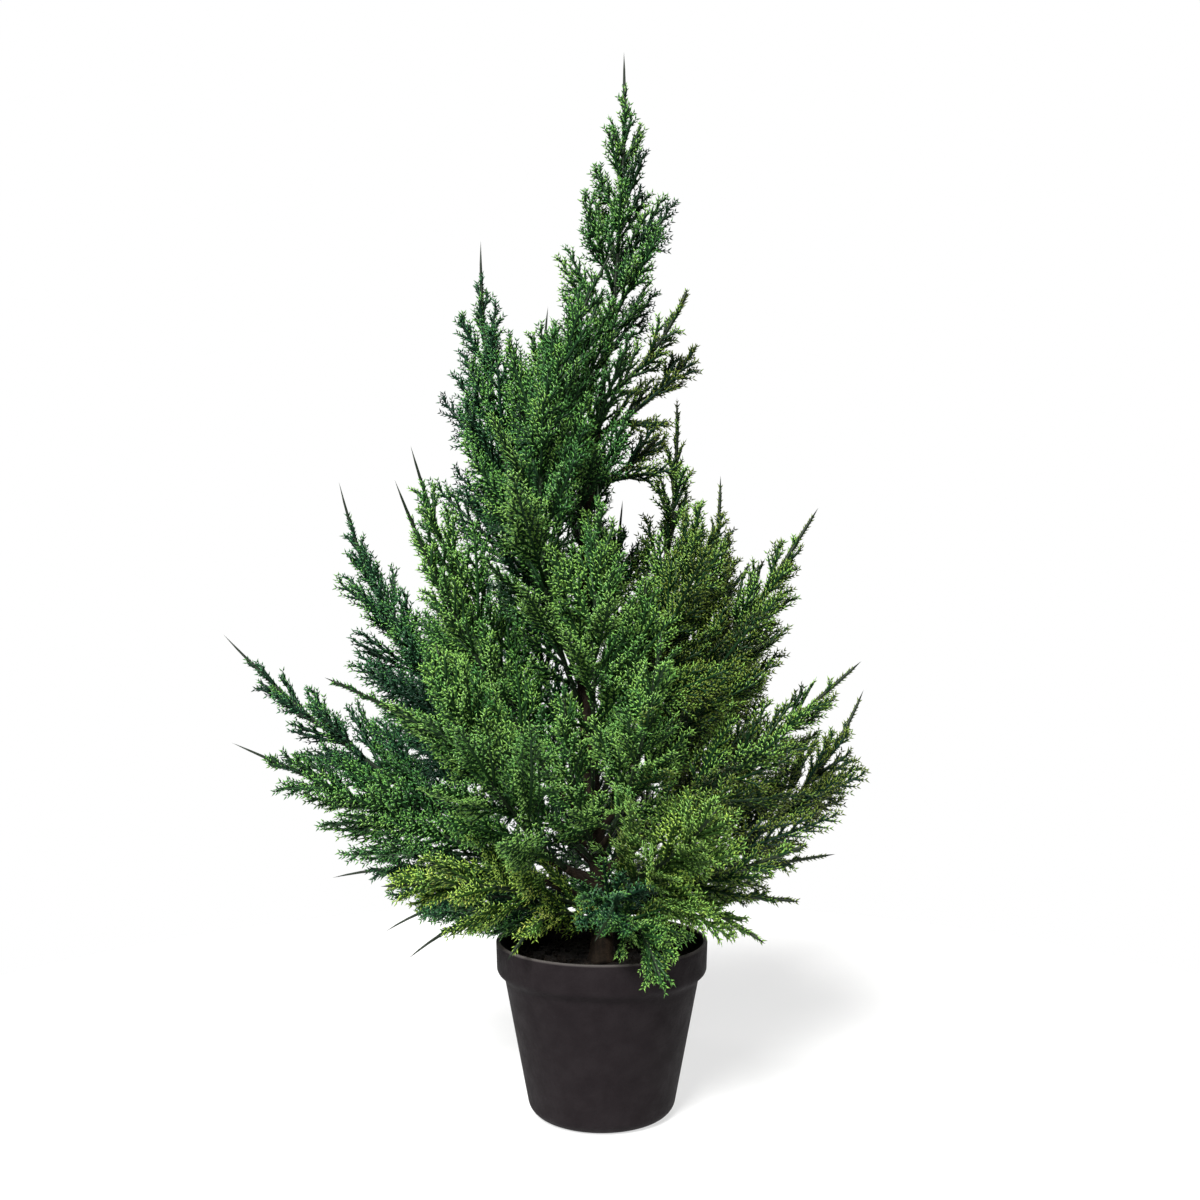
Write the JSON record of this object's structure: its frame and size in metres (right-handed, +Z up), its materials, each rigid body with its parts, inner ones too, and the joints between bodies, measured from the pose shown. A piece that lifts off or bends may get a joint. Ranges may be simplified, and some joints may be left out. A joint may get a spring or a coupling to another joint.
{
  "type": "potted artificial cedar",
  "caption": "Artificial cedar in a dark tapered pot: a slim leaning trunk, rising boughs and full plumes of fine needled sprays, as a decorative plant for a table or floor.",
  "frame": {"origin": "middle of the pot's flat underside", "axes": "+Z up along the pot's axis, -Y towards the front, +X to the right as seen from the front"},
  "size_m": [0.3782, 0.2793, 0.609],
  "materials": {
    "pot_plastic": "satin",
    "pot_fill": "matte",
    "bark": "matte",
    "deep_green": "matte",
    "green": "matte",
    "bright_green": "matte",
    "yellow_green": "matte"
  },
  "bodies": {
    "root": {"pot": "pot_plastic", "pot_fill": "pot_fill", "trunk": "bark", "leader_spray": "green", "upper_right_spray": "green", "upper_right_low_spray": "deep_green", "mid_right_spray": "deep_green", "upper_left_spray": "deep_green", "upper_mid_spray": "green", "upper_front_spray": "green", "upper_back_spray": "green", "inner_left_spray": "deep_green", "left_mid_spray": "green", "left_droop_spray": "deep_green", "left_skirt_spray": "green", "left_skirt_back_spray": "deep_green", "left_low_front_spray": "yellow_green", "front_left_skirt_spray": "yellow_green", "front_inner_spray": "bright_green", "front_mid_spray": "bright_green", "front_tall_spray": "bright_green", "front_arch_spray": "deep_green", "front_skirt_spray": "bright_green", "front_right_spray": "yellow_green", "right_droop_spray": "yellow_green", "right_skirt_spray": "green", "right_low_front_spray": "green", "right_flat_spray": "deep_green", "right_inner_spray": "green", "right_mid_spray": "deep_green", "right_tall_spray": "green", "back_low_spray": "deep_green", "back_inner_spray": "deep_green", "back_tall_spray": "deep_green", "back_skirt_left_spray": "deep_green", "back_skirt_right_spray": "deep_green", "left_high_bough": "bark", "left_high_spray": "bright_green", "left_broad_bough": "bark", "left_broad_spray": "bright_green", "left_rise_bough": "bark", "left_rise_spray": "deep_green", "left_far_bough": "bark", "left_far_spray": "deep_green", "left_low_bough": "bark", "left_low_spray": "green", "front_left_bough": "bark", "front_left_spray": "bright_green", "front_rise_bough": "bark", "front_rise_spray": "bright_green", "right_low_bough": "bark", "right_low_spray": "deep_green", "right_far_bough": "bark", "right_far_spray": "green", "right_out_bough": "bark", "right_out_spray": "green", "back_left_bough": "bark", "back_left_spray": "deep_green", "back_right_bough": "bark", "back_right_spray": "deep_green"}
  },
  "joints": []
}
